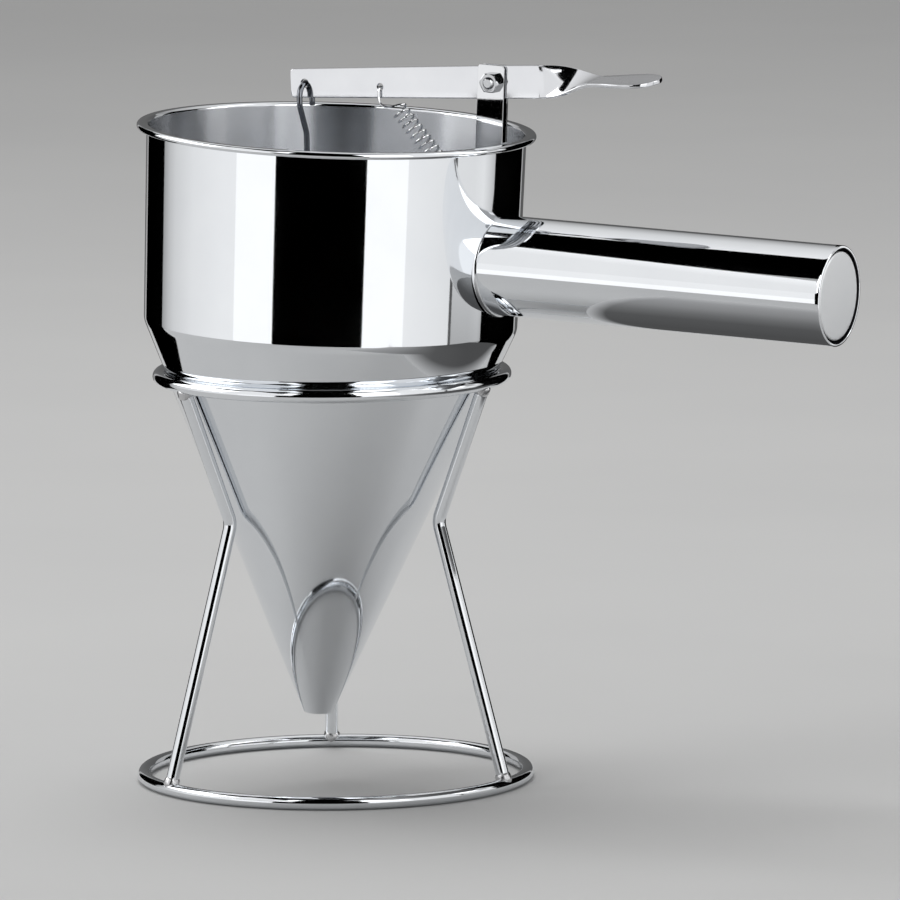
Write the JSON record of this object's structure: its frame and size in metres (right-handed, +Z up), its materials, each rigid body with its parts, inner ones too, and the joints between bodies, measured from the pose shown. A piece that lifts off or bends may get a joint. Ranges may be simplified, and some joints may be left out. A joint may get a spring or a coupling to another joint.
{
  "type": "pancake batter dispenser",
  "caption": "Steel funnel with a tubular handle, a sprung thumb lever that lifts a plunger from its outlet, and a wire stand.",
  "frame": {"origin": "centre of the base ring, on the table", "axes": "+X along the table under the handle, +Z up; the funnel leans 2.6 degrees towards the handle"},
  "size_m": [0.2852, 0.15, 0.2743],
  "materials": {
    "polished_steel": "mirror polished",
    "lever_steel": "polished",
    "wire_steel": "polished wire",
    "bolt_steel": "bright zinc",
    "satin_steel": "satin",
    "spring_steel": "drawn spring wire"
  },
  "bodies": {
    "stand": {"base_ring": "wire_steel", "top_ring": "wire_steel", "leg_1": "wire_steel", "leg_2": "wire_steel", "leg_3": "wire_steel", "ring_welds": "satin_steel", "foot_welds": "satin_steel"},
    "hopper": {"bowl": "polished_steel", "cone": "polished_steel", "handle_tube": "polished_steel", "handle_weld": "satin_steel", "handle_cap": "satin_steel", "lever_bracket": "lever_steel", "pivot_bolt": "bolt_steel", "pivot_nut": "bolt_steel", "return_spring": "spring_steel"},
    "lever": {"lever": "lever_steel"},
    "plunger": {"plunger_rod": "wire_steel", "plunger_plug": "polished_steel"}
  },
  "joints": [
    {"name": "lift_out", "type": "slide", "parent": "stand", "child": "hopper", "axis": [0, 0, 1], "range_m": [0, 0.14]},
    {"name": "lever_hinge", "type": "hinge", "parent": "hopper", "child": "lever", "pos_m": [0.06896, 0, 0.26704], "axis": [0, 1, 0], "range_deg": [0, 14], "stiffness_Nm_per_rad": 0.8, "springref_deg": -15.01, "deforming": ["return_spring"]},
    {"name": "hook_hinge", "type": "hinge", "parent": "lever", "child": "plunger", "pos_m": [-0.00997, 0, 0.26359], "axis": [0, 1, 0], "range_deg": [-14, 0]}
  ],
  "couplings": [
    {"joint": "hook_hinge", "follows": "lever_hinge", "ratio": -1}
  ]
}
